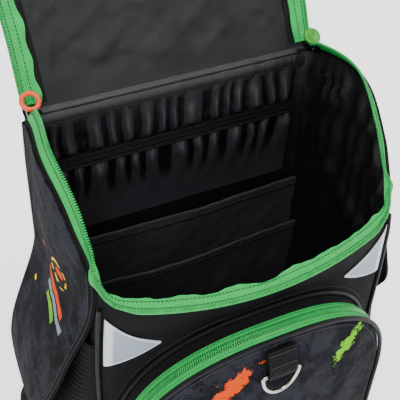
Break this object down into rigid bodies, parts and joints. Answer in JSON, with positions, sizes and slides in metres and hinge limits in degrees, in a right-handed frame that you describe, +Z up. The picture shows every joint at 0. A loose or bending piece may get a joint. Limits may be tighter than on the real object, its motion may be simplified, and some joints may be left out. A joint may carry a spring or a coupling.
{
  "type": "school ransel",
  "caption": "Stiff-framed child's school backpack standing open, with a zip-round lid, arched front pocket, side flaps over stretch pockets and a D-ring tab.",
  "frame": {"origin": "middle of the underside of the base, on the floor", "axes": "+X to the bag's right seen from its front, +Y to the back panel and straps, +Z up"},
  "size_m": [0.3416, 0.3575, 0.4983],
  "materials": {
    "black_fabric": "matte black woven polyester",
    "lining": "black satin lining cloth",
    "print_fabric": "charcoal smudge-printed polyester",
    "rib_fabric": "black ribbed stretch cloth",
    "zipper_green": "woven green zip tape with nylon coil",
    "piping": "black piping cord",
    "reflective": "silver-grey reflective film on cloth",
    "webbing": "black polyester webbing",
    "padding": "black air-mesh over foam",
    "nickel": "bright nickel plate",
    "puller_orange": "orange soft plastic",
    "puller_lime": "lime-green soft plastic",
    "buckle_plastic": "black moulded plastic"
  },
  "bodies": {
    "bag": {"body_shell": "black_fabric", "rim_zipper": "zipper_green", "lid": "lining", "lid_zipper": "zipper_green", "hinge_band": "lining", "back_lining": "lining", "elastic_band": "lining", "divider_rear": "lining", "divider_front": "lining", "side_flap_left": "print_fabric", "side_flap_right": "print_fabric", "side_pocket_left": "rib_fabric", "side_pocket_right": "rib_fabric", "corner_piping_front_left": "piping", "corner_piping_front_right": "piping", "corner_piping_rear_left": "piping", "corner_piping_rear_right": "piping", "patch_left": "reflective", "patch_right": "reflective", "pocket_gusset": "black_fabric", "pocket_face": "print_fabric", "pocket_zipper": "zipper_green", "pocket_base_piping": "piping", "pocket_face_piping": "piping", "zip_end_tab_left": "webbing", "zip_end_tab_right": "webbing", "pocket_slider": "nickel", "hanging_tab": "webbing", "slider_left": "nickel", "slider_right": "nickel", "puller_left": "puller_orange", "puller_right": "puller_lime", "back_pad": "padding", "grab_handle": "webbing", "shoulder_strap_left": "padding", "shoulder_strap_right": "padding", "strap_buckle_left": "buckle_plastic", "strap_buckle_right": "buckle_plastic", "strap_webbing_left": "webbing", "strap_webbing_right": "webbing"},
    "ring": {"d_ring": "nickel"}
  },
  "joints": [
    {"name": "d_ring_swing", "type": "hinge", "parent": "bag", "child": "ring", "pos_m": [0, -0.12923, 0.203], "axis": [-1, 0, 0], "range_deg": [0, 150]}
  ]
}
